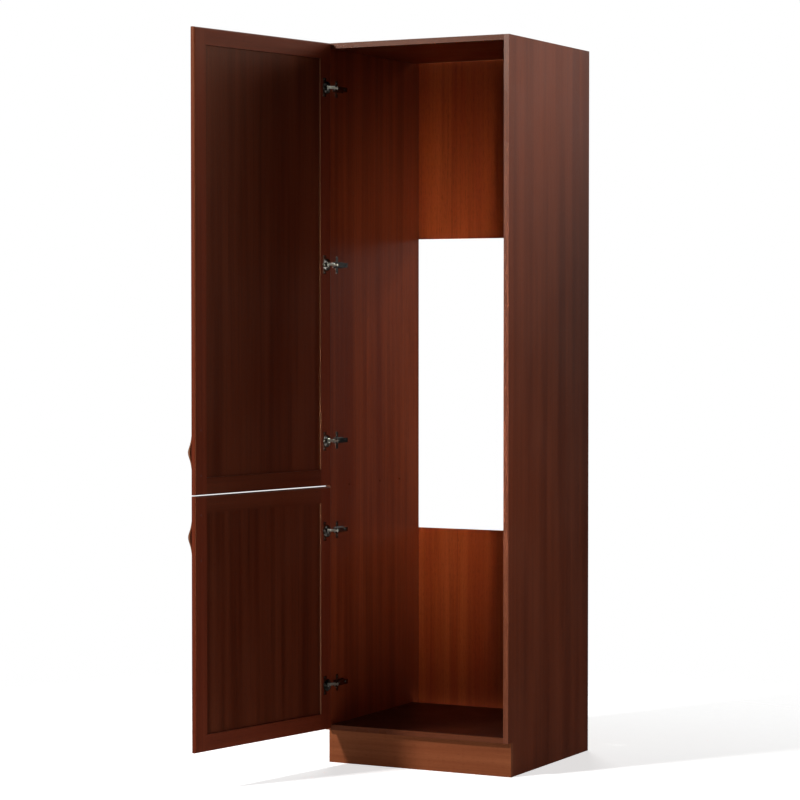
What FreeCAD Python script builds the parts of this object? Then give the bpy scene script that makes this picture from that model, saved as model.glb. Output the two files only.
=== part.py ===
"""Tall fridge housing cabinet: chipboard carcass, two framed doors on cup hinges, bow handles.

Millimetres, +Z up, +X to the right and +Y to the back, seen from the front. The origin is on the floor,
under the middle of the plinth board. The doors stand open, which is the rest pose.
"""
import FreeCAD, Part
import os

V = FreeCAD.Vector

# Carcass
cabinet_width = 600.0
cabinet_height = 2140.0
carcass_depth = 575.0
board = 16.0
edge_band = 1.0
vent_gap = 40.0
shelf_hole_r = 2.5
shelf_hole_depth = 12.0
shelf_hole_height = 827.0
shelf_hole_setbacks = (115.0, 313.0, 441.0)

# Plinth and its corner brackets
plinth_height = 100.0
plinth_setback = 20.0
plinth_board = 16.0
bracket_leg = 32.0
bracket_sheet = 2.0
bracket_width = 22.0
bracket_screw_place = 21.0

# Back panels
back_sheet = 3.0
back_margin = 2.0
upper_back_height = 562.0
lower_back_height = 564.0
nail_r = 0.8
nail_head_r = 1.9
nail_head = 0.8
nail_length = 22.0
nails_per_edge = 6
nail_end_margin = 25.0

# Cam fittings and dowels at the carcass corners
cam_r = 7.5
cam_floor = 0.9
cam_distance = 24.0
cam_bolt_r = 3.0
cam_bolt_depth = 10.5
cam_neck_r = 2.4
cam_head_r = 3.4
cam_head = 4.0
cam_setback = 60.0
cam_slot_length = 10.0
cam_slot_width = 1.2
cam_slot_depth = 2.4
dowel_r = 4.0
dowel_length = 30.0
dowel_land = 4.0
dowel_offset = 32.0
fit_clearance = 0.05
end_clearance = 0.3
screw_tip_margin = 5.0

# Doors
door_thickness = 16.0
door_gap = 2.0
door_side_reveal = 2.0
door_top_reveal = 1.0
door_bottom_reveal = 6.0
lower_door_height = 722.0
door_split = 3.0
door_rounding = 5.0
cup_land = 1.0
rail_width = 48.0
panel_recess = 5.0
groove_depth = 8.0
frame_bevel = 4.0
open_angle = 100.8

# Bow handles
handle_inset = 25.0
handle_distance = 118.0
handle_centres = 128.0
handle_end = 18.0
handle_tip = 9.0
handle_shoulder_setback = 11.0
handle_shoulder = 14.3
handle_neck_setback = 42.0
handle_neck = 21.7
handle_projection = 29.0
handle_bar = 9.0
handle_foot_setback = 14.0
handle_arch_setback = 37.0
handle_arch = 14.5
handle_width = 14.0
handle_rounding = 2.5
handle_screw_r = 2.0
handle_screw_head_r = 3.4
handle_screw_head = 2.2
handle_screw_grip = 5.0

# Cup hinges: the cup in the door, the arm and its plate on the side panel, two links between them
hinge_end_distance = 132.0
upper_hinges = 3
lower_hinges = 2
cup_r = 17.5
cup_depth = 12.4
cup_wall = 0.8
cup_edge_distance = 4.0
cup_rim = 1.0
flange_sheet = 1.0
flange_half_length = 28.0
flange_width = 13.0
cup_screw_spacing = 45.0
cup_screw_offset = 9.5
cup_screw_r = 1.7
cup_screw_head_r = 3.2
cup_screw_head = 1.4
pin_r = 1.0
pin_clearance = 0.05
inner_link_half = 2.5
layer_gap = 0.4
outer_link_sheet = 2.0
arm_sheet = 1.5
link_half_width = 1.8
eye_wall = 1.25
open_eye_wall = 1.0
open_eye_play = 0.15
pin_path_steps = 20
nose_wall = 1.2
# Pivots in plan, door closed: across from the cup's hinge-side edge and back from the door's inner face
arm_inner_pivot = (31.0, 7.0)
arm_outer_pivot = (29.0, -6.5)
cup_inner_pivot = (4.5, -5.5)
cup_outer_pivot = (8.6, -3.5)
inner_link_belly = (11.0, -9.0)
outer_link_bend = (16.2, -6.5)
# Turn of each link for one degree of the door's turn
inner_link_ratio = -0.22
outer_link_ratio = -0.44
plate_line = 37.0
plate_sheet = 2.0
plate_length = 60.0
plate_half_width = 9.0
plate_wing = 11.0
plate_screw_spacing = 32.0
plate_wing_end = 9.0
plate_block = 8.0
plate_front = 16.0
plate_screw_r = 2.0
plate_screw_head_r = 3.6
plate_screw_head = 1.6
arm_height = 14.5
arm_neck_r = 3.0
arm_neck_setback = 16.0
arm_screw_r = 1.8
arm_screw_head_r = 3.4
arm_screw_head = 1.8
arm_screw_setbacks = (26.0, 62.0)
arm_screw_grip = 5.0

left = -cabinet_width / 2
right = cabinet_width / 2
front = -plinth_setback - plinth_board / 2
rear = front + carcass_depth
inner_left = left + board
inner_right = right - board
board_rear = rear - vent_gap
cam_height = board / 2 + cam_head_r + cam_floor
dowel_depth = board - dowel_land
parts = {}


def box(x0, x1, y0, y1, z0, z1):
    """A block between two corners, given in either order."""
    low = V(min(x0, x1), min(y0, y1), min(z0, z1))
    return Part.makeBox(abs(x1 - x0), abs(y1 - y0), abs(z1 - z0), low)


def rod(start, direction, radius, length):
    """A round bar from a start point along a direction."""
    return Part.makeCylinder(radius, length, start, direction)


def screw(seat, drive, radius, length, head_r, head):
    """A screw or nail driven in at its seat, with a round head standing on the seat."""
    return rod(seat, drive, radius, length).fuse(rod(seat, drive * -1, head_r, head)).removeSplitter()


def add(node, *solids):
    """Adds solids to a node's list."""
    parts.setdefault(node, []).extend(solids)


def cut(solid, tools):
    """The solid less all the tools."""
    return solid.cut(Part.makeCompound(tools))


# What is cut out of the boards, gathered as the fittings are placed. A side is its outer face and the way in
sides = ((left, 1.0), (right, -1.0))
side_cuts = {left: [], right: []}
board_cuts = {"top_panel": [], "bottom_panel": []}


def cam_joint(node, side, inward, place, middle, cam_face, cam_down):
    """A bolt in the side panel, drawn in by a cam let into the board's outer face."""
    into = V(inward, 0, 0)
    seat = V(side + inward * board, place, middle)
    bolt_start = seat - into * cam_bolt_depth
    head_start = seat + into * (cam_distance - cam_head / 2)
    shank = rod(bolt_start, into, cam_bolt_r, cam_bolt_depth)
    neck = rod(bolt_start, into, cam_neck_r, cam_bolt_depth + cam_distance)
    head = rod(head_start, into, cam_head_r, cam_head)
    add("cam_bolts", shank.fuse(neck).fuse(head).removeSplitter())
    side_cuts[side].append(rod(bolt_start - into * end_clearance, into, cam_bolt_r + fit_clearance,
                               cam_bolt_depth + end_clearance))
    board_cuts[node].append(rod(seat, into, cam_head_r + end_clearance, cam_distance))

    cam_top = V(seat.x + inward * cam_distance, place, cam_face)
    slot_floor = cam_top + cam_down * cam_slot_depth
    head_room = rod(head_start - into * end_clearance, into, cam_head_r + fit_clearance,
                    cam_head + 2 * end_clearance)
    neck_room = rod(seat + into * (cam_distance - cam_r), into, cam_neck_r + fit_clearance, cam_r)
    slot = box(cam_top.x - cam_slot_length / 2, cam_top.x + cam_slot_length / 2,
               place - cam_slot_width / 2, place + cam_slot_width / 2, cam_face, slot_floor.z)
    add("cam_locks", cut(rod(cam_top, cam_down, cam_r, cam_height), [head_room, neck_room, slot]))
    board_cuts[node].append(rod(cam_top, cam_down, cam_r + fit_clearance, cam_height + end_clearance))


def dowel_joint(node, side, inward, place, middle):
    """A wooden dowel between the side panel and the board's end."""
    into = V(inward, 0, 0)
    start = V(side + inward * (board - dowel_depth), place, middle)
    add("carcass_dowels", rod(start, into, dowel_r, dowel_length))
    hole = rod(start - into * end_clearance, into, dowel_r + fit_clearance, dowel_length + 2 * end_clearance)
    side_cuts[side].append(hole)
    board_cuts[node].append(hole)


# Top and bottom panel between the sides, each end held by two cams and two dowels
board_lows = {"top_panel": cabinet_height - board, "bottom_panel": plinth_height}
cam_faces = {"top_panel": cabinet_height, "bottom_panel": plinth_height}
cam_downs = {"top_panel": V(0, 0, -1), "bottom_panel": V(0, 0, 1)}
for node, low in board_lows.items():
    for side, inward in sides:
        for end, way in ((front, 1.0), (board_rear, -1.0)):
            cam_place = end + way * cam_setback
            middle = low + board / 2
            cam_joint(node, side, inward, cam_place, middle, cam_faces[node], cam_downs[node])
            dowel_joint(node, side, inward, cam_place + way * dowel_offset, middle)

# Holes in the side panels for the shelf between fridge and freezer
for side, inward in sides:
    for setback in shelf_hole_setbacks:
        mouth = V(side + inward * board, front + setback, shelf_hole_height)
        side_cuts[side].append(rod(mouth, V(-inward, 0, 0), shelf_hole_r, shelf_hole_depth))

# Back panels nailed to the rear edges of the side panels
back_panels = (("lower_back_panel", plinth_height + back_margin, lower_back_height),
               ("upper_back_panel", cabinet_height - back_margin - upper_back_height, upper_back_height))
for node, low, height in back_panels:
    sheet = box(left + back_margin, right - back_margin, rear, rear + back_sheet, low, low + height)
    holes = []
    pitch = (height - 2 * nail_end_margin) / (nails_per_edge - 1)
    for side, inward in sides:
        for i in range(nails_per_edge):
            top = V(side + inward * board / 2, rear + back_sheet, low + nail_end_margin + i * pitch)
            drive = V(0, -1, 0)
            seat = top + drive * nail_head
            add("back_panel_nails", screw(seat, drive, nail_r, nail_length, nail_head_r, nail_head))
            hole = rod(seat, drive, nail_r + fit_clearance, nail_length + end_clearance)
            sink = rod(top, drive, nail_head_r + fit_clearance, nail_head)
            holes += [hole, sink]
            side_cuts[side].append(hole)
    add(node, cut(sheet, holes))

# Plinth board across the notched sides, held by a steel angle bracket in each corner
plinth_front = front + plinth_setback
plinth_back = plinth_front + plinth_board
plinth_cuts = []
bracket_middle = plinth_height / 2
bracket_low = bracket_middle - bracket_width / 2
bracket_high = bracket_middle + bracket_width / 2
for side, inward in sides:
    inner = side + inward * board
    side_leg = box(inner, inner + inward * bracket_sheet, plinth_back, plinth_back + bracket_leg,
                   bracket_low, bracket_high)
    plinth_leg = box(inner, inner + inward * bracket_leg, plinth_back, plinth_back + bracket_sheet,
                     bracket_low, bracket_high)
    side_seat = V(inner + inward * bracket_sheet, plinth_back + bracket_screw_place, bracket_middle)
    plinth_seat = V(inner + inward * bracket_screw_place, plinth_back + bracket_sheet, bracket_middle)
    holes = []
    for seat, drive, wall, cuts in ((side_seat, V(-inward, 0, 0), board, side_cuts[side]),
                                    (plinth_seat, V(0, -1, 0), plinth_board, plinth_cuts)):
        length = bracket_sheet + wall - screw_tip_margin
        add("plinth_bracket_screws",
            screw(seat, drive, plate_screw_r, length, plate_screw_head_r, plate_screw_head))
        hole = rod(seat, drive, plate_screw_r + fit_clearance, length + end_clearance)
        holes.append(hole)
        cuts.append(hole)
    add("plinth_brackets", cut(side_leg.fuse(plinth_leg).removeSplitter(), holes))
add("plinth_board", cut(box(left, right, plinth_front, plinth_back, 0, plinth_height), plinth_cuts))

# Hinge pivots in the closed cabinet, and where the door's pivots come to when it stands open
door_back = front - door_gap
door_front = door_back - door_thickness
door_left = left + door_side_reveal
door_right = right - door_side_reveal
cup_x = door_left + cup_edge_distance + cup_r
stile_width = cup_edge_distance + 2 * cup_r + cup_land + groove_depth
axis = V(0, 0, 1)


def hinge_point(place):
    """A point of the closed hinge in plan, from the cup's hinge-side edge and the door's inner face."""
    return V(door_left + cup_edge_distance + place[0], door_back + place[1], 0)


def turned(point, centre, degrees):
    """A point turned about a vertical axis."""
    return centre + FreeCAD.Rotation(axis, degrees).multVec(point - centre)


inner_arm_axis = hinge_point(arm_inner_pivot)
outer_arm_axis = hinge_point(arm_outer_pivot)
inner_cup_axis = hinge_point(cup_inner_pivot)
outer_cup_axis = hinge_point(cup_outer_pivot)
inner_link_turn = -open_angle * inner_link_ratio
outer_link_turn = -open_angle * outer_link_ratio
open_shift = turned(inner_cup_axis, inner_arm_axis, inner_link_turn) - inner_cup_axis


def outer_pin_in_link(share):
    """Where the outer link sees its cup pin, with the door open by a share of its full angle."""
    carried = turned(inner_cup_axis, inner_arm_axis, inner_link_turn * share)
    pin = carried + turned(outer_cup_axis, inner_cup_axis, -open_angle * share) - inner_cup_axis
    return turned(pin, outer_arm_axis, -outer_link_turn * share)


# The outer link's cup pivot is the open one: its eye is as wide as the pin's small wander in it
pin_places = [outer_pin_in_link(step / pin_path_steps) for step in range(pin_path_steps + 1)]
pin_path = Part.makePolygon(pin_places)
open_eye = pin_path.BoundBox.Center
pin_wander = max((place - open_eye).Length for place in pin_places)


def swing(solid):
    """Opens a door's solid: it turns about the cup's inner pivot, which the inner link carries out."""
    moved = solid.copy()
    moved.rotate(inner_cup_axis, axis, -open_angle)
    moved.translate(open_shift)
    return moved


def slab(points, radius, low, high):
    """A bar of even width along a path in plan, with round ends and knees."""
    bar = None
    for start, end in zip(points[:-1], points[1:]):
        run = end - start
        across = V(-run.y, run.x, 0).normalize() * radius
        corners = [start + across, end + across, end - across, start - across, start + across]
        piece = Part.Face(Part.makePolygon(corners)).extrude(V(0, 0, high - low))
        for knee in (start, end):
            piece = piece.fuse(rod(knee, axis, radius, high - low))
        bar = piece if bar is None else bar.fuse(piece)
    bar.translate(V(0, 0, low))
    return bar.removeSplitter()


outer_low = inner_link_half + layer_gap
outer_high = outer_low + outer_link_sheet
cheek_low = outer_high + layer_gap
cheek_high = cheek_low + arm_sheet
hinge_pin_hole_r = pin_r + pin_clearance
link_eye_r = hinge_pin_hole_r + eye_wall
open_eye_hole_r = pin_r + pin_wander + open_eye_play
nose_r = pin_r + nose_wall
cup_slot = cheek_high + layer_gap
cup_screw_length = flange_sheet + door_thickness - screw_tip_margin
plate_screw_length = plate_sheet + board - screw_tip_margin
plate_block_half = cheek_low - layer_gap
plate_top = inner_left + plate_sheet
arm_top = plate_top + arm_height
plate_end = front + plate_front + plate_length


def inner_link():
    """Cranked link whose belly dips into the cup when the door is closed."""
    path = [inner_cup_axis, hinge_point(inner_link_belly), inner_arm_axis]
    link = slab(path, link_half_width, -inner_link_half, inner_link_half)
    for pivot in (inner_cup_axis, inner_arm_axis):
        link = link.fuse(rod(pivot - axis * inner_link_half, axis, link_eye_r, 2 * inner_link_half))
    holes = [rod(pivot - axis * inner_link_half, axis, hinge_pin_hole_r, 2 * inner_link_half)
             for pivot in (inner_cup_axis, inner_arm_axis)]
    link = cut(link.removeSplitter(), holes)
    link.rotate(inner_arm_axis, axis, inner_link_turn)
    return link


def outer_link():
    """Flat link beside the inner one; its eye at the cup is wide, since this pivot is the open one."""
    eye = open_eye + axis * outer_low
    path = [open_eye, hinge_point(outer_link_bend), outer_arm_axis]
    link = slab(path, link_half_width, outer_low, outer_high)
    link = link.fuse(rod(eye, axis, open_eye_hole_r + open_eye_wall, outer_link_sheet))
    link = link.fuse(rod(outer_arm_axis + axis * outer_low, axis, link_eye_r, outer_link_sheet))
    holes = [rod(eye, axis, open_eye_hole_r, outer_link_sheet),
             rod(outer_arm_axis + axis * outer_low, axis, hinge_pin_hole_r, outer_link_sheet)]
    link = cut(link.removeSplitter(), holes)
    link.rotate(outer_arm_axis, axis, outer_link_turn)
    return link


def hinge_cup():
    """Pressed cup with a flange, a boss each side for a pin, and a rim cut away for the links."""
    down = V(0, -1, 0)
    mouth = V(cup_x, door_back, 0)
    rim = mouth - down * flange_sheet
    shell = rod(mouth, down, cup_r, cup_depth).fuse(rod(rim, down, cup_r + cup_rim, flange_sheet))
    wing_start = cup_x + cup_screw_offset - flange_width / 2
    shell = shell.fuse(box(wing_start, wing_start + flange_width, door_back, rim.y,
                           -flange_half_length, flange_half_length))
    cavity = rod(rim, down, cup_r - cup_wall, cup_depth - cup_wall + flange_sheet)
    boss_end = outer_cup_axis.x + link_eye_r
    bosses = [box(cup_x - cup_r, boss_end, door_back - cup_depth, door_back - flange_sheet, low, high)
              for low, high in ((-cup_r, -cup_slot), (cup_slot, cup_r))]
    kept = rod(mouth, down, cup_r - cup_wall / 2, cup_depth).common(Part.makeCompound(bosses))
    cup = cut(shell, [cavity]).fuse(kept.Solids)
    screws = [rod(rim + V(cup_screw_offset, 0, side * cup_screw_spacing / 2), down,
                  cup_screw_r + fit_clearance, flange_sheet) for side in (-1, 1)]
    pins = [rod(inner_cup_axis, -axis, pin_r + fit_clearance / 2, cup_slot + link_eye_r),
            rod(outer_cup_axis, axis, pin_r + fit_clearance / 2, cup_slot + link_eye_r)]
    relief = box(cup_x - cup_r - cup_rim, inner_cup_axis.x, door_back, rim.y, -cup_slot, cup_slot)
    return cut(cup.removeSplitter(), screws + pins + [relief])


def cup_pins():
    """The two pivot pins of one cup, one from each boss."""
    boss_grip = cup_slot + link_eye_r
    return [rod(inner_cup_axis + axis * inner_link_half, -axis, pin_r, inner_link_half + boss_grip),
            rod(outer_cup_axis + axis * outer_low, axis, pin_r, boss_grip - outer_low)]


def cup_screws():
    """The two screws of one cup's flange, and the holes that they make in the stile."""
    screws = []
    holes = []
    for side in (-1, 1):
        seat = V(cup_x + cup_screw_offset, door_back + flange_sheet, side * cup_screw_spacing / 2)
        drive = V(0, -1, 0)
        screws.append(screw(seat, drive, cup_screw_r, cup_screw_length, cup_screw_head_r, cup_screw_head))
        holes.append(rod(seat, drive, cup_screw_r + fit_clearance, cup_screw_length + end_clearance))
    return screws, holes


def hinge_plate():
    """Cross-shaped plate screwed to the side panel, with a block that the arm sits over."""
    line = front + plate_line
    wing_half = plate_screw_spacing / 2 + plate_wing_end
    plate = box(inner_left, plate_top, front + plate_front, plate_end, -plate_half_width, plate_half_width)
    plate = plate.fuse(box(inner_left, plate_top, line - plate_wing / 2, line + plate_wing / 2,
                           -wing_half, wing_half))
    plate = plate.fuse(box(plate_top, plate_top + plate_block, front + plate_front, plate_end,
                           -plate_block_half, plate_block_half))
    holes = []
    for side in (-1, 1):
        seat = V(inner_left, line, side * plate_screw_spacing / 2)
        holes.append(rod(seat, V(1, 0, 0), plate_screw_r + fit_clearance, plate_sheet))
    for setback in arm_screw_setbacks:
        mouth = V(plate_top + plate_block, front + setback, 0)
        holes.append(rod(mouth, V(-1, 0, 0), arm_screw_r + fit_clearance, arm_screw_grip + end_clearance))
    return cut(plate.removeSplitter(), holes)


def plate_screws():
    """The two screws of one plate, and the holes that they make in the side panel."""
    screws = []
    holes = []
    for side in (-1, 1):
        seat = V(plate_top, front + plate_line, side * plate_screw_spacing / 2)
        drive = V(-1, 0, 0)
        screws.append(screw(seat, drive, plate_screw_r, plate_screw_length,
                            plate_screw_head_r, plate_screw_head))
        holes.append(rod(seat, drive, plate_screw_r + fit_clearance, plate_screw_length + end_clearance))
    return screws, holes


def hinge_arm():
    """Channel over the plate's block; its two cheeks reach forward to the pivots."""
    body_front = front + arm_neck_setback
    neck = V(arm_top - arm_neck_r, body_front, 0)
    arm = box(arm_top - arm_sheet, arm_top, body_front, plate_end, -cheek_high, cheek_high)
    for low in (-cheek_high, cheek_low):
        high = low + arm_sheet
        arm = arm.fuse([slab([outer_arm_axis, inner_arm_axis, neck], nose_r, low, high),
                        rod(neck + axis * low, axis, arm_neck_r, arm_sheet),
                        box(plate_top, arm_top, body_front, plate_end, low, high)])
    holes = []
    for pivot in (inner_arm_axis, outer_arm_axis):
        holes.append(rod(pivot - axis * cheek_high, axis, pin_r + fit_clearance / 2, 2 * cheek_high))
    for setback in arm_screw_setbacks:
        mouth = V(arm_top, front + setback, 0)
        holes.append(rod(mouth, V(-1, 0, 0), arm_screw_r + fit_clearance, arm_sheet))
    return cut(arm.removeSplitter(), holes)


def arm_pins():
    """The two pivot pins across one arm's cheeks."""
    return [rod(pivot - axis * cheek_high, axis, pin_r, 2 * cheek_high)
            for pivot in (inner_arm_axis, outer_arm_axis)]


def arm_screw(setback):
    """A screw through the arm's web into the plate's block."""
    seat = V(arm_top, front + setback, 0)
    length = arm_height - plate_block + arm_screw_grip
    return screw(seat, V(-1, 0, 0), arm_screw_r, length, arm_screw_head_r, arm_screw_head)


def raised(solids, z):
    """Copies of solids, moved up to a height."""
    return [solid.translated(V(0, 0, z)) for solid in solids]


def swung(solids):
    """Copies of a closed door's solids, with the door open."""
    return [swing(solid) for solid in solids]


def bow_handle(x, z):
    """Bow handle on the door's front: a flat-footed bow, its outline carried across the width."""
    half = handle_centres / 2
    tip = half + handle_end
    shoulder = half - handle_shoulder_setback
    neck = half - handle_neck_setback
    inner_rise = handle_projection - handle_bar
    inner_end = half - handle_foot_setback
    arch = half - handle_arch_setback
    outer = [(-tip, handle_tip), (-shoulder, handle_shoulder), (-neck, handle_neck), (0, handle_projection),
             (neck, handle_neck), (shoulder, handle_shoulder), (tip, handle_tip)]
    inner = [(inner_end, 0), (arch, handle_arch), (0, inner_rise), (-arch, handle_arch), (-inner_end, 0)]

    def place(along, out):
        return V(x - handle_width / 2, door_front - out, z + along)

    def curve(points):
        line = Part.BSplineCurve()
        line.interpolate([place(along, out) for along, out in points])
        return line.toShape()

    edges = [curve(outer), Part.makeLine(place(tip, handle_tip), place(tip, 0)),
             Part.makeLine(place(tip, 0), place(inner_end, 0)), curve(inner),
             Part.makeLine(place(-inner_end, 0), place(-tip, 0)),
             Part.makeLine(place(-tip, 0), place(-tip, handle_tip))]
    bow = Part.Face(Part.Wire(edges)).extrude(V(handle_width, 0, 0))
    crest = door_front - handle_projection + handle_rounding
    rounded = [edge for edge in bow.Edges
               if edge.Curve.TypeId == "Part::GeomBSplineCurve" and edge.BoundBox.YMin < crest]
    return bow.makeFillet(handle_rounding, rounded)


def door_frame(name, low, high):
    """Stiles, rails and the grooved-in panel of one closed door, with a bevel round the front opening."""
    panel_front = door_front + panel_recess
    panel_back = door_back - panel_recess
    open_left = door_left + stile_width
    open_right = door_right - stile_width
    open_low = low + rail_width
    open_high = high - rail_width
    groove = box(open_left - groove_depth, open_right + groove_depth, panel_front, panel_back,
                 open_low - groove_depth, open_high + groove_depth)
    bevel = Part.makeWedge(open_left - frame_bevel, door_front, open_low - frame_bevel, open_low, open_left,
                           open_right + frame_bevel, door_front + frame_bevel, open_high + frame_bevel,
                           open_high, open_right)
    whole = box(door_left, door_right, door_front, door_back, low, high)
    rims = [edge for edge in whole.Edges if edge.BoundBox.YLength < fit_clearance]
    rounded = whole.makeFillet(door_rounding, rims)
    spans = {
        "hinge_stile": (door_left, open_left, low, high),
        "handle_stile": (open_right, door_right, low, high),
        "bottom_rail": (open_left, open_right, low, open_low),
        "top_rail": (open_left, open_right, open_high, high),
    }
    pieces = {piece: rounded.common(box(x0, x1, door_front, door_back, z0, z1))
              for piece, (x0, x1, z0, z1) in spans.items()}
    cuts = {piece: [groove, bevel] for piece in pieces}
    dowels = []
    middle = (door_front + door_back) / 2
    for rail, rail_low in (("bottom_rail", low), ("top_rail", open_high)):
        for x, stile, inward in ((open_left, "hinge_stile", 1), (open_right, "handle_stile", -1)):
            start = V(x - inward * dowel_length / 2, middle, rail_low + rail_width / 2)
            dowels.append(rod(start, V(inward, 0, 0), dowel_r, dowel_length))
            hole = rod(start - V(inward * end_clearance, 0, 0), V(inward, 0, 0), dowel_r + fit_clearance,
                       dowel_length + 2 * end_clearance)
            cuts[rail].append(hole)
            cuts[stile].append(hole)
    panel = box(open_left - groove_depth + end_clearance, open_right + groove_depth - end_clearance,
                panel_front + fit_clearance, panel_back - fit_clearance,
                open_low - groove_depth + end_clearance, open_high + groove_depth - end_clearance)
    add(name + "_door_dowels", *swung(dowels))
    add(name + "_door_panel", swing(panel))
    return pieces, cuts


def handle_fixings(x, z):
    """Screws from the stile's back into the handle's feet, and the holes for them."""
    screws = []
    holes = []
    bores = []
    for side in (-1, 1):
        top = V(x, door_back, z + side * handle_centres / 2)
        drive = V(0, -1, 0)
        seat = top + drive * handle_screw_head
        length = door_thickness - handle_screw_head + handle_screw_grip
        screws.append(screw(seat, drive, handle_screw_r, length, handle_screw_head_r, handle_screw_head))
        bore = rod(seat, drive, handle_screw_r + fit_clearance, length + end_clearance)
        sink = rod(top, drive, handle_screw_head_r + fit_clearance, handle_screw_head)
        bores.append(bore)
        holes += [bore, sink]
    return screws, holes, bores


door_bottom = plinth_height + door_bottom_reveal
lower_door_top = door_bottom + lower_door_height
upper_door_low = lower_door_top + door_split
upper_door_top = cabinet_height - door_top_reveal
doors = (("upper", upper_door_low, upper_door_top, upper_hinges, upper_door_low + handle_distance),
         ("lower", door_bottom, lower_door_top, lower_hinges, lower_door_top - handle_distance))
hinge_number = 0
for name, low, high, count, handle_z in doors:
    pieces, cuts = door_frame(name, low, high)
    handle_x = door_right - handle_inset
    screws, holes, bores = handle_fixings(handle_x, handle_z)
    cuts["handle_stile"] += holes
    add(name + "_handle", swing(cut(bow_handle(handle_x, handle_z), bores)))
    add(name + "_handle_screws", *swung(screws))
    pitch = (high - low - 2 * hinge_end_distance) / (count - 1)
    for i in range(count):
        hinge_number += 1
        z = high - hinge_end_distance - i * pitch
        flange_screws, flange_holes = cup_screws()
        cup_bore = rod(V(cup_x, door_back, 0), V(0, -1, 0), cup_r + fit_clearance, cup_depth + end_clearance)
        cuts["hinge_stile"] += raised([cup_bore] + flange_holes, z)
        add(f"hinge_cup_{hinge_number}", *swung(raised([hinge_cup()], z)))
        add(name + "_cup_pins", *swung(raised(cup_pins(), z)))
        add(name + "_cup_screws", *swung(raised(flange_screws, z)))
        add(name + "_inner_links", *raised([inner_link()], z))
        add(name + "_outer_links", *raised([outer_link()], z))
        panel_screws, panel_holes = plate_screws()
        side_cuts[left] += raised(panel_holes, z)
        add(f"hinge_plate_{hinge_number}", *raised([hinge_plate()], z))
        add(f"hinge_arm_{hinge_number}", *raised([hinge_arm()], z))
        add("hinge_plate_screws", *raised(panel_screws, z))
        add("hinge_adjust_screws", *raised([arm_screw(arm_screw_setbacks[0])], z))
        add("hinge_clamp_screws", *raised([arm_screw(arm_screw_setbacks[1])], z))
        add("hinge_arm_pins", *raised(arm_pins(), z))
    for piece, solid in pieces.items():
        add(f"{name}_door_{piece}", swing(cut(solid, cuts[piece])))

# Carcass boards, cut last, when every fitting's hole is known
notch = box(left, right, front, plinth_back, 0, plinth_height)
for node, (side, inward) in zip(("left_side_panel", "right_side_panel"), sides):
    inner = side + inward * board
    panel = box(side, inner, front + edge_band, rear, 0, cabinet_height)
    add(node, cut(panel, [notch] + side_cuts[side]))
    add("side_edge_bands", box(side, inner, front, front + edge_band, plinth_height, cabinet_height))
for node, low in board_lows.items():
    panel = box(inner_left, inner_right, front + edge_band, board_rear, low, low + board)
    add(node, cut(panel, board_cuts[node]))
    add("panel_edge_bands", box(inner_left, inner_right, front, front + edge_band, low, low + board))

os.makedirs("parts", exist_ok=True)
for node, solids in parts.items():
    whole = [solid for shape in solids for solid in shape.Solids]
    shape = whole[0] if len(whole) == 1 else Part.makeCompound(whole)
    shape.exportStep(f"parts/{node}.step")
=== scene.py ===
"""Tall fridge housing cabinet: finishes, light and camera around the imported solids, in metres."""
import bpy
import math
import numpy as np
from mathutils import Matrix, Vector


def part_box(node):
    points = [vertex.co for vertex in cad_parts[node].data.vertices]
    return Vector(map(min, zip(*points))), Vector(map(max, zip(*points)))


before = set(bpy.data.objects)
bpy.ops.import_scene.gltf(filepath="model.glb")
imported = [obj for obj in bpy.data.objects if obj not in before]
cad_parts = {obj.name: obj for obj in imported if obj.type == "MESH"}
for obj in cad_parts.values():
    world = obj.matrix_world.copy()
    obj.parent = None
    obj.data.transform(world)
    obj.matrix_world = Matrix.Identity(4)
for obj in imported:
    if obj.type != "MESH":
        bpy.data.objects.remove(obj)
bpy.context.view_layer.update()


# Side panels
# Two upright chipboards faced on both sides with a satin mahogany foil, grain upright. They carry all
# the rest. The cut edges at the rear, top and bottom show the bare chips, and drilled holes are coloured
# near black as painted shade.
def linear(colour):
    """sRGB hex to linear RGBA.

    A channel c becomes c / 12.92 when it is small, and else ((c + 0.055) / 1.055) to the power 2.4.
    """
    channels = np.array([int(colour[at:at + 2], 16) for at in (1, 3, 5)]) / 255
    bright = ((channels + 0.055) / 1.055) ** 2.4
    return (*np.where(channels < 0.04045, channels / 12.92, bright), 1.0)


def add_node(tree, kind, values=(), links=(), **settings):
    """Adds one node: settings are its properties, values its fixed inputs, links its fed inputs."""
    node = tree.nodes.new(kind)
    for name, value in settings.items():
        setattr(node, name, value)
    for socket, value in dict(values).items():
        node.inputs[socket].default_value = value
    for socket, source in dict(links).items():
        tree.links.new(source, node.inputs[socket])
    return node


def new_finish(name):
    """A material of that name with its node tree, its surface shader and its texture coordinates."""
    material = bpy.data.materials.new(name)
    material.use_nodes = True
    tree = material.node_tree
    place = add_node(tree, "ShaderNodeTexCoord")
    return material, tree, tree.nodes["Principled BSDF"], place


def dress(material, *names):
    """Gives a finish to CAD nodes."""
    for name in names:
        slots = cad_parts[name].data.materials
        slots.clear()
        slots.append(material)


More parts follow.
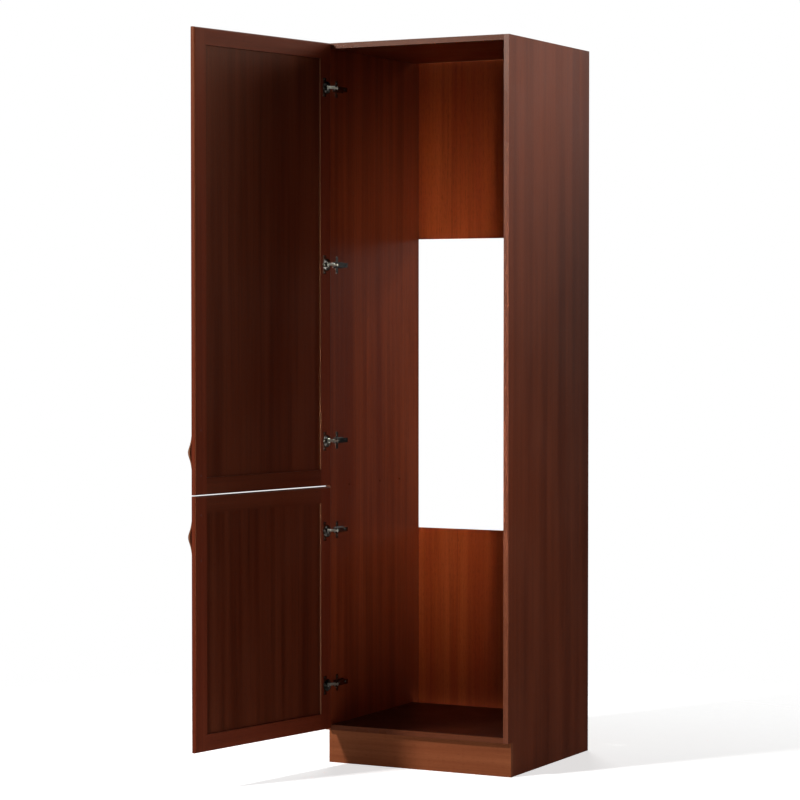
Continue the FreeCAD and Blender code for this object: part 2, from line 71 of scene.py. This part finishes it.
def patch(tree, place, size_mm, low, high, turn=0.0, shift=0.0, lay="upright", detail=2.0):
    """Noise with patches of a real size in mm: across, across and along the grain.

    Its values from low to high are spread over 0 to 1. The grain runs along Z when upright and along X
    when level, and turn swings level grain about Z, in degrees. The shift sets pieces apart.
    """
    along = {"upright": (0, 1, 2), "level": (2, 1, 0)}[lay]
    spread = add_node(tree, "ShaderNodeMapping", vector_type="TEXTURE",
                      values={"Location": (shift, 1.7 * shift, 2.3 * shift),
                              "Rotation": (0, 0, math.radians(turn)),
                              "Scale": [size_mm[axis] / 1000 for axis in along]},
                      links={"Vector": place.outputs["Object"]})
    noise = add_node(tree, "ShaderNodeTexNoise",
                     values={"Scale": 1.0, "Detail": detail, "Roughness": 0.55},
                     links={"Vector": spread.outputs[0]})
    amount = add_node(tree, "ShaderNodeMapRange", interpolation_type="SMOOTHSTEP",
                      values={"From Min": low, "From Max": high},
                      links={"Value": noise.outputs["Fac"]})
    return amount.outputs[0]


def mixed(tree, amount, under, over):
    """One colour over another by the socket amount. Each colour is a hex value or a socket."""
    node = add_node(tree, "ShaderNodeMix", data_type="RGBA", links={0: amount})
    # In colour mode the node's two colours are its inputs 6 and 7, and its result is output 2
    for socket, source in ((6, under), (7, over)):
        if isinstance(source, str):
            node.inputs[socket].default_value = linear(source)
        else:
            tree.links.new(source, node.inputs[socket])
    return node.outputs[2]


def mahogany(tree, place, dark, ground, light, shift=0.0, **grain):
    """Mahogany figure: ribbons of 48 mm, dark veins of 15 mm, streaks of 6 mm and pores of 0.9 mm.

    The real pores are nearer 0.3 mm, which would never show. Returns the colour and the pores.
    """
    ribbon = patch(tree, place, (48, 48, 1500), 0.30, 0.70, shift=shift, **grain)
    vein = patch(tree, place, (15, 15, 900), 0.52, 0.72, shift=shift + 5.3, **grain)
    streak = patch(tree, place, (6, 6, 420), 0.38, 0.72, shift=shift + 3.1, detail=4.0, **grain)
    pore = patch(tree, place, (0.9, 0.9, 16), 0.60, 0.72, shift=shift + 7.7, detail=0.0, **grain)
    colour = mixed(tree, ribbon, ground, light)
    for figure, strength in ((vein, 0.22), (streak, 0.22), (pore, 0.40)):
        faint = add_node(tree, "ShaderNodeMath", operation="MULTIPLY", values={1: strength},
                         links={0: figure})
        colour = mixed(tree, faint.outputs[0], colour, dark)
    return colour, pore


def chipboard(tree, place):
    """Bare chips 2 to 3 mm across, each cell of the pattern with its own tint of brown and straw."""
    grains = add_node(tree, "ShaderNodeMapping", vector_type="TEXTURE",
                      values={"Scale": (0.0028, 0.0028, 0.0022)},
                      links={"Vector": place.outputs["Object"]})
    cells = add_node(tree, "ShaderNodeTexVoronoi", values={"Scale": 1.0},
                     links={"Vector": grains.outputs[0]})
    tint = add_node(tree, "ShaderNodeSeparateColor", links={0: cells.outputs["Color"]}).outputs[0]
    return mixed(tree, tint, "#8A6A45", "#C2A070")


def satin(tree, shader, place, pore, even, uneven, depth, tint="#E8B07C", level=0.5):
    """Satin gloss, warm from the stain, with pores pressed in to a depth in metres.

    The roughness runs from even to uneven in clouds of 180 mm.
    """
    shader.inputs["Specular Tint"].default_value = linear(tint)
    shader.inputs["Specular IOR Level"].default_value = level
    cloud = patch(tree, place, (180, 180, 260), 0.30, 0.70)
    gloss = add_node(tree, "ShaderNodeMapRange", values={"To Min": even, "To Max": uneven},
                     links={"Value": cloud})
    tree.links.new(gloss.outputs[0], shader.inputs["Roughness"])
    dent = add_node(tree, "ShaderNodeBump", invert=True,
                    values={"Strength": 0.35, "Distance": depth}, links={"Height": pore})
    tree.links.new(dent.outputs[0], shader.inputs["Normal"])


def faced_board(name, node, bare, shift, dark="#45190C", ground="#632814", light="#79371F",
                level=0.42, tint="#E8B07C", **grain):
    """Mahogany foil, with bare chipboard on the faces that look along the bare axes.

    To the eye: a satin red-brown print with soft ribbons, dull straw-coloured chips on a cut edge, and
    drilled holes coloured near black as painted shade. A hole is what lies deeper inside the node's box
    than a thin skin.
    """
    skin = 0.0002
    material, tree, shader, place = new_finish(name)
    colour, pore = mahogany(tree, place, dark, ground, light, shift=shift, **grain)
    cut_face = add_node(tree, "ShaderNodeVectorMath", operation="MULTIPLY", values={1: bare},
                        links={0: place.outputs["Normal"]})
    share = add_node(tree, "ShaderNodeVectorMath", operation="LENGTH",
                     links={0: cut_face.outputs[0]})
    raw = add_node(tree, "ShaderNodeMath", operation="GREATER_THAN", values={1: 0.7},
                   links={0: share.outputs["Value"]})
    colour = mixed(tree, raw.outputs[0], colour, chipboard(tree, place))
    low, high = [np.array(corner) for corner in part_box(node)]
    inner = add_node(tree, "ShaderNodeMapping", vector_type="TEXTURE",
                     values={"Location": (low + high) / 2, "Scale": (high - low) / 2 - skin},
                     links={"Vector": place.outputs["Object"]})
    off_middle = add_node(tree, "ShaderNodeVectorMath", operation="ABSOLUTE",
                          links={0: inner.outputs[0]})
    x, y, z = add_node(tree, "ShaderNodeSeparateXYZ", links={0: off_middle.outputs[0]}).outputs
    wider = add_node(tree, "ShaderNodeMath", operation="MAXIMUM", links={0: x, 1: y})
    widest = add_node(tree, "ShaderNodeMath", operation="MAXIMUM", links={0: wider.outputs[0], 1: z})
    # Painted shade: whatever lies inside the box's skin, the walls of drilled holes, is coloured near
    # black
    drilled = add_node(tree, "ShaderNodeMath", operation="LESS_THAN", values={1: 1.0},
                       links={0: widest.outputs[0]})
    colour = mixed(tree, drilled.outputs[0], colour, "#1A0A05")
    tree.links.new(colour, shader.inputs["Base Color"])
    satin(tree, shader, place, pore, 0.30, 0.38, 0.0002, tint=tint, level=level)
    dress(material, node)


# Painted light: the left side's ground and light tones are lighter than the right side's, the same foil
faced_board("mahogany_foil_on_chipboard_left", "left_side_panel", (0, 1, 1), 0.13, lay="upright",
            dark="#34110A", ground="#702C16", light="#893D21", level=0.24)
faced_board("mahogany_foil_on_chipboard_right", "right_side_panel", (0, 1, 1), 0.57, lay="upright",
            tint="#E8C48C")

# Top and bottom panel
# The same faced chipboard, laid level between the sides with the grain from side to side, held by cam
# fittings and dowels. Both stop short of the back for the air of the fridge. The bottom panel's print is
# much darker than the top's, as painted shade.
faced_board("mahogany_foil_on_chipboard_top", "top_panel", (1, 1, 0), 0.91, lay="level",
            dark="#3E160B", ground="#5A2412", light="#6C311B")
# Painted shade: the bottom panel's print is much darker than the other boards' foil
faced_board("mahogany_foil_on_chipboard_bottom", "bottom_panel", (1, 1, 0), 1.37, lay="level",
            dark="#1E0A05", ground="#2E1008", light="#38150B", level=0.15)

# Plinth board
# A strip of faced chipboard on edge under the bottom panel, set back from the front, with level grain.
# Two angle brackets behind it hold it to the sides.
faced_board("mahogany_foil_on_chipboard_plinth", "plinth_board", (0, 0, 1), 1.83, lay="level",
            dark="#5A2814", ground="#763D24", light="#864B2E")


# Edge bands
# Printed plastic strip 1 mm thick, glued over the front edges of the sides and of the top and bottom
# panel. Its print is a little greyer than the foil, with fine grain along the strip.
def edge_band(name, node, shift, lay, level, dark, ground, light):
    """ABS strip with a printed wood figure: smoother than foil, so it catches a thin line of light."""
    material, tree, shader, place = new_finish(name)
    colour, pore = mahogany(tree, place, dark, ground, light, shift=shift, lay=lay)
    tree.links.new(colour, shader.inputs["Base Color"])
    satin(tree, shader, place, pore, 0.26, 0.34, 0.0001, tint="#FFF0E4", level=level)
    dress(material, node)


edge_band("printed_abs_upright", "side_edge_bands", 2.29, "upright", 0.3,
          "#4A2115", "#653522", "#733E29")
# Painted shade: the level strips on the top and bottom panel get a darker print than the upright ones
edge_band("printed_abs_level", "panel_edge_bands", 2.71, "level", 0.1,
          "#3E1A0F", "#572C1B", "#643521")


# Back panels
# Two sheets of 3 mm hardboard nailed to the rear edges of the sides. The front is printed with
# mahogany, a little redder than the foil, and the rear is the bare brown board.
def hardboard(name, node, shift):
    """Printed hardboard in front of the sheet's middle, bare board behind it.

    To the eye: a redder, flatter print inside the cabinet and a dull brown sheet outside.
    """
    material, tree, shader, place = new_finish(name)
    colour, pore = mahogany(tree, place, "#4C160A", "#8C3316", "#A84820", shift=shift, lay="upright")
    fibre = patch(tree, place, (2.2, 2.2, 2.2), 0.30, 0.70, detail=4.0)
    bare = mixed(tree, fibre, "#744B32", "#966746")
    low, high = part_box(node)
    depth = add_node(tree, "ShaderNodeSeparateXYZ", links={0: place.outputs["Object"]}).outputs["Y"]
    behind = add_node(tree, "ShaderNodeMath", operation="GREATER_THAN",
                      values={1: (low.y + high.y) / 2}, links={0: depth})
    tree.links.new(mixed(tree, behind.outputs[0], colour, bare), shader.inputs["Base Color"])
    satin(tree, shader, place, pore, 0.50, 0.60, 0.0001)
    dress(material, node)


hardboard("printed_hardboard_upper", "upper_back_panel", 3.17)
hardboard("printed_hardboard_lower", "lower_back_panel", 3.59)


# Carcass fittings
# Cam locks of cast zinc in the top and bottom panel, their steel bolts and beech dowels in the sides,
# nails in the back panels, and zinc-plated angle brackets with screws behind the plinth.
def bare_metal(name, colour, shade, even, uneven, grit_mm, depth, metal=1.0):
    """Metal with clouds of tint and gloss 9 mm wide, and a fine grit of the given size and depth."""
    material, tree, shader, place = new_finish(name)
    cloud = patch(tree, place, (9, 9, 9), 0.30, 0.70, detail=3.0)
    tree.links.new(mixed(tree, cloud, colour, shade), shader.inputs["Base Color"])
    shader.inputs["Metallic"].default_value = metal
    gloss = add_node(tree, "ShaderNodeMapRange", values={"To Min": even, "To Max": uneven},
                     links={"Value": cloud})
    tree.links.new(gloss.outputs[0], shader.inputs["Roughness"])
    grit = patch(tree, place, (grit_mm, grit_mm, grit_mm), 0.35, 0.65, detail=1.0)
    dent = add_node(tree, "ShaderNodeBump", values={"Strength": 0.3, "Distance": depth},
                    links={"Height": grit})
    tree.links.new(dent.outputs[0], shader.inputs["Normal"])
    return material


def beech(name):
    """Turned beech: pale, dull, with short darker flecks."""
    material, tree, shader, place = new_finish(name)
    fleck = patch(tree, place, (1.2, 5.0, 5.0), 0.45, 0.70)
    tree.links.new(mixed(tree, fleck, "#C89B6C", "#A87748"), shader.inputs["Base Color"])
    satin(tree, shader, place, fleck, 0.55, 0.65, 0.0001)
    return material


# Cast zinc: matt grey with a fine cast grain
cast_zinc = bare_metal("cast_zinc", "#A9ABAC", "#8E9092", 0.42, 0.55, 0.6, 0.0001)
# Zinc plate on steel: brighter, with a faint yellow cast
zinc_plate = bare_metal("zinc_plated_steel", "#C9C7BC", "#AFAE9F", 0.28, 0.40, 0.4, 0.00005)
beech_pin = beech("turned_beech")
dress(cast_zinc, "cam_locks")
dress(zinc_plate, "cam_bolts", "back_panel_nails", "plinth_brackets", "plinth_bracket_screws")
dress(beech_pin, "carcass_dowels")

# Hinges
# Five concealed hinges of pressed steel: a cross plate screwed to the side, an arm clamped on it, two
# links and a cup in the door. The nickel plate mirrors the dark wood, and its colour is also darker
# than bare nickel as painted shade, so it looks nearly black; the links and pins of zinc plate are the
# bright spots between.
# Painted shade: this nickel is coloured darker than bare nickel
nickel = bare_metal("nickel_plated_steel", "#84827E", "#605E5B", 0.14, 0.22, 0.5, 0.00004)
hinge_numbers = range(1, 6)
for piece in ("plate", "arm", "cup"):
    dress(nickel, *[f"hinge_{piece}_{number}" for number in hinge_numbers])
dress(nickel, "hinge_plate_screws", "hinge_clamp_screws", "hinge_adjust_screws")
dress(zinc_plate, "hinge_arm_pins")
for door in ("upper", "lower"):
    dress(nickel, f"{door}_cup_screws")
    dress(zinc_plate, f"{door}_inner_links", f"{door}_outer_links", f"{door}_cup_pins")

# Doors
# Two framed doors of fibreboard wrapped in mahogany foil: stiles with upright grain, rails with level
# grain, a panel held in grooves whose print is darker as painted shade, and beech dowels in the
# corners. They stand open, so level grain is turned with them, in degrees about Z.
door_turn = -100.8
along_door = (math.cos(math.radians(door_turn)), math.sin(math.radians(door_turn)), 0.0)


def wrapped_frame(name, node, shift, pale, dark, ground, light, **grain):
    """Foil wrapped over fibreboard, with a pale painted highlight, by the share pale, on edges that face
    the door's free end.

    To the eye: the boards' print, a little glossier, with a thin painted highlight line on those edges.
    """
    material, tree, shader, place = new_finish(name)
    colour, pore = mahogany(tree, place, dark, ground, light, shift=shift, **grain)
    lean = add_node(tree, "ShaderNodeVectorMath", operation="DOT_PRODUCT", values={1: along_door},
                    links={0: place.outputs["Normal"]})
    # Painted highlight: edges that face the door's free end are mixed towards a pale brown
    painted_edge_highlight = add_node(tree, "ShaderNodeMapRange", interpolation_type="SMOOTHSTEP",
                         values={"From Min": 0.60, "From Max": 0.95, "To Max": pale},
                         links={"Value": lean.outputs["Value"]})
    colour = mixed(tree, painted_edge_highlight.outputs[0], colour, "#A06A4E")
    tree.links.new(colour, shader.inputs["Base Color"])
    satin(tree, shader, place, pore, 0.28, 0.36, 0.0002)
    dress(material, node)


# Dark, ground and light of the print. The panels, and the rails at the gap between the doors, get the
# darker print as painted shade.
frame_print = ("#34110A", "#5E2213", "#6C2C1A")
shaded_print = ("#1C0905", "#46180B", "#5B2716")
rail_prints = {"upper": (frame_print, shaded_print), "lower": (shaded_print, frame_print)}
for number, door in enumerate(("upper", "lower")):
    start = 4.0 + number
    top_print, bottom_print = rail_prints[door]
    # Only the hinge stiles get the painted highlight, with a share of 1
    for piece, step, pale, tone, grain in (
            ("hinge_stile", 0.0, 1.0, frame_print, {"lay": "upright"}),
            ("handle_stile", 0.21, 0.0, frame_print, {"lay": "upright"}),
            ("panel", 0.42, 0.0, shaded_print, {"lay": "upright"}),
            ("top_rail", 0.65, 0.0, top_print, {"lay": "level", "turn": door_turn}),
            ("bottom_rail", 0.75, 0.0, bottom_print, {"lay": "level", "turn": door_turn})):
        wrapped_frame(f"mahogany_foil_{door}_{piece}", f"{door}_door_{piece}", start + step, pale,
                      *tone, **grain)
    dress(beech_pin, f"{door}_door_dowels")


# Handles
# Bow handles of stained, lacquered hardwood, each held from behind by two steel screws through the
# handle stile. The screws are lacquered brown.
def stained_wood(name, node, shift):
    """Stained hardwood under lacquer: paler than the foil, with a soft shine on the crest of the bow."""
    material, tree, shader, place = new_finish(name)
    colour, pore = mahogany(tree, place, "#50281A", "#754730", "#8C5C40", shift=shift, lay="upright")
    tree.links.new(colour, shader.inputs["Base Color"])
    satin(tree, shader, place, pore, 0.30, 0.40, 0.0001)
    dress(material, node)


# Brown lacquer on steel: it doesn't stand out of the stile
lacquered_steel = bare_metal("brown_lacquered_steel", "#5E2213", "#4E1B0E", 0.40, 0.50, 0.4, 0.00005,
                             metal=0.0)
for number, door in enumerate(("upper", "lower")):
    stained_wood(f"stained_hardwood_{door}", f"{door}_handle", 6.0 + number)
    dress(lacquered_steel, f"{door}_handle_screws")


# Floor
# A pale studio floor that fades out round the cabinet and takes its shadow. It isn't seen in gloss, so
# it throws no glare on the foil. It glows a little, more to the camera, so the shadow stays faint.
def disc(radius, rings, spokes):
    """Flat disc: radius times the square root of the ring's share, at even angles, round the origin."""
    share = np.sqrt(np.linspace(0.0, 1.0, rings + 1))[1:, None] * radius
    angle = np.linspace(0.0, 2 * np.pi, spokes, endpoint=False)[None, :]
    rim = np.stack([share * np.cos(angle), share * np.sin(angle), 0 * share * angle], axis=-1)
    points = np.vstack([[[0.0, 0.0, 0.0]], rim.reshape(-1, 3)])
    ring = np.arange(rings - 1)[:, None] * spokes + 1
    spoke = np.arange(spokes)[None, :]
    after = (spoke + 1) % spokes
    outer = ring + spokes
    quads = np.stack([ring + spoke, outer + spoke, outer + after, ring + after], axis=-1)
    fans = np.stack([np.zeros(spokes, int), 1 + spoke[0], 1 + after[0]], axis=-1)
    return points, fans.tolist() + quads.reshape(-1, 4).tolist()


points, faces = disc(radius=4.0, rings=12, spokes=48)
floor_mesh = bpy.data.meshes.new("studio_floor")
floor_mesh.from_pydata(points.tolist(), [], faces)
floor = bpy.data.objects.new("studio_floor", floor_mesh)
bpy.context.scene.collection.objects.link(floor)
# Matt white paint: no shine at all
floor_paint, tree, shader, place = new_finish("matt_white_paint")
shader.inputs["Base Color"].default_value = linear("#FAFAF9")
shader.inputs["Roughness"].default_value = 0.9
shader.inputs["Specular IOR Level"].default_value = 0.0
shader.inputs["Emission Color"].default_value = linear("#FFFFFF")
ray = add_node(tree, "ShaderNodeLightPath")
glow = add_node(tree, "ShaderNodeMapRange", values={"To Min": 0.4, "To Max": 0.65},
                links={"Value": ray.outputs["Is Camera Ray"]})
tree.links.new(glow.outputs[0], shader.inputs["Emission Strength"])
floor_paint.cycles.emission_sampling = "NONE"
distance = add_node(tree, "ShaderNodeVectorMath", operation="LENGTH",
                    links={0: place.outputs["Object"]})
fade = add_node(tree, "ShaderNodeMapRange", interpolation_type="SMOOTHSTEP",
                values={"From Min": 0.6, "From Max": 2.4, "To Min": 1.0, "To Max": 0.0},
                links={"Value": distance.outputs["Value"]})
tree.links.new(fade.outputs[0], shader.inputs["Alpha"])
floor_mesh.materials.append(floor_paint)
floor.visible_glossy = False


# Light
# A small key at the left in front, narrow gridded boxes at the right for the inside and for the doors'
# inner faces, a high one for the top of the outer side, one behind for the back and a weak one overhead.
# The walls are white to the camera, dark below the horizon in gloss, and give only a little fill.
def soft_box(name, spot, target, width, height, watts, spread=180.0, in_gloss=True):
    """A rectangular lamp at spot that faces target, with its spread in degrees."""
    lamp = bpy.data.lights.new(name, "AREA")
    lamp.shape = "RECTANGLE"
    lamp.size = width
    lamp.size_y = height
    lamp.energy = watts
    lamp.spread = math.radians(spread)
    holder = bpy.data.objects.new(name, lamp)
    bpy.context.scene.collection.objects.link(holder)
    holder.location = spot
    east, north, up = np.array(target) - np.array(spot)
    tilt = math.atan2(math.hypot(east, north), -up)
    holder.rotation_euler = (tilt, 0, math.atan2(north, east) - math.pi / 2)
    holder.visible_camera = False
    holder.visible_glossy = in_gloss


soft_box("left_key_box", (-2.6, -4.39, 3.58), (-0.2, 0.0, 0.1), 0.5, 0.5, 310)
soft_box("right_grid_box", (2.9, -5.0, 1.42), (-0.15, 0.5, 1.14), 0.5, 1.3, 2.3, spread=11)
soft_box("right_door_box", (1.4, -1.9, 1.2), (-0.5, -0.85, 1.2), 0.5, 2.2, 1.7, spread=36)
soft_box("right_high_box", (1.8, 1.2, 2.45), (0.3, 0.2, 2.15), 0.8, 0.8, 2.2, spread=40,
         in_gloss=False)
soft_box("rear_soft_box", (-2.4, 4.6, 2.6), (0.0, 0.2, 1.0), 1.6, 1.6, 90, in_gloss=False)
soft_box("top_soft_box", (0.0, 0.2, 5.5), (0.0, 0.2, 0.0), 3.5, 3.5, 12)

walls = bpy.data.worlds.new("studio_walls")
bpy.context.scene.world = walls
walls.use_nodes = True
tree = walls.node_tree
ray = add_node(tree, "ShaderNodeLightPath")
toward = add_node(tree, "ShaderNodeTexCoord")
rise = add_node(tree, "ShaderNodeSeparateXYZ", links={0: toward.outputs["Generated"]}).outputs["Z"]
above = add_node(tree, "ShaderNodeMapRange", interpolation_type="SMOOTHSTEP",
                 values={"From Min": -0.02, "From Max": 0.20, "To Min": 0.02, "To Max": 1.0},
                 links={"Value": rise})
mirrored = add_node(tree, "ShaderNodeMath", operation="MAXIMUM",
                    links={0: ray.outputs["Is Glossy Ray"], 1: ray.outputs["Is Transmission Ray"]})
fill = add_node(tree, "ShaderNodeMapRange", values={"To Min": 0.08, "To Max": 1.0},
                links={"Value": mirrored.outputs[0]})
graded = add_node(tree, "ShaderNodeMath", operation="MULTIPLY",
                  links={0: fill.outputs[0], 1: above.outputs[0]})
white = add_node(tree, "ShaderNodeMath", operation="MAXIMUM",
                 links={0: ray.outputs["Is Camera Ray"], 1: graded.outputs[0]})
backdrop = tree.nodes["Background"]
backdrop.inputs["Color"].default_value = (1, 1, 1, 1)
tree.links.new(white.outputs[0], backdrop.inputs["Strength"])

# Camera
# Where the photograph was taken from: to the right of the cabinet, a little above its middle, with a
# long lens that looks down by less than two degrees.
tilt_down = 1.706
turn_left = 27.514
lens = bpy.data.cameras.new("camera")
lens.lens = 121.2
lens.sensor_width = 36.0
camera = bpy.data.objects.new("camera", lens)
bpy.context.scene.collection.objects.link(camera)
camera.location = (3.5941, -7.0265, 1.3223)
camera.rotation_euler = (math.radians(90 - tilt_down), 0, math.radians(turn_left))
bpy.context.scene.camera = camera
bpy.context.scene.view_settings.view_transform = "Standard"
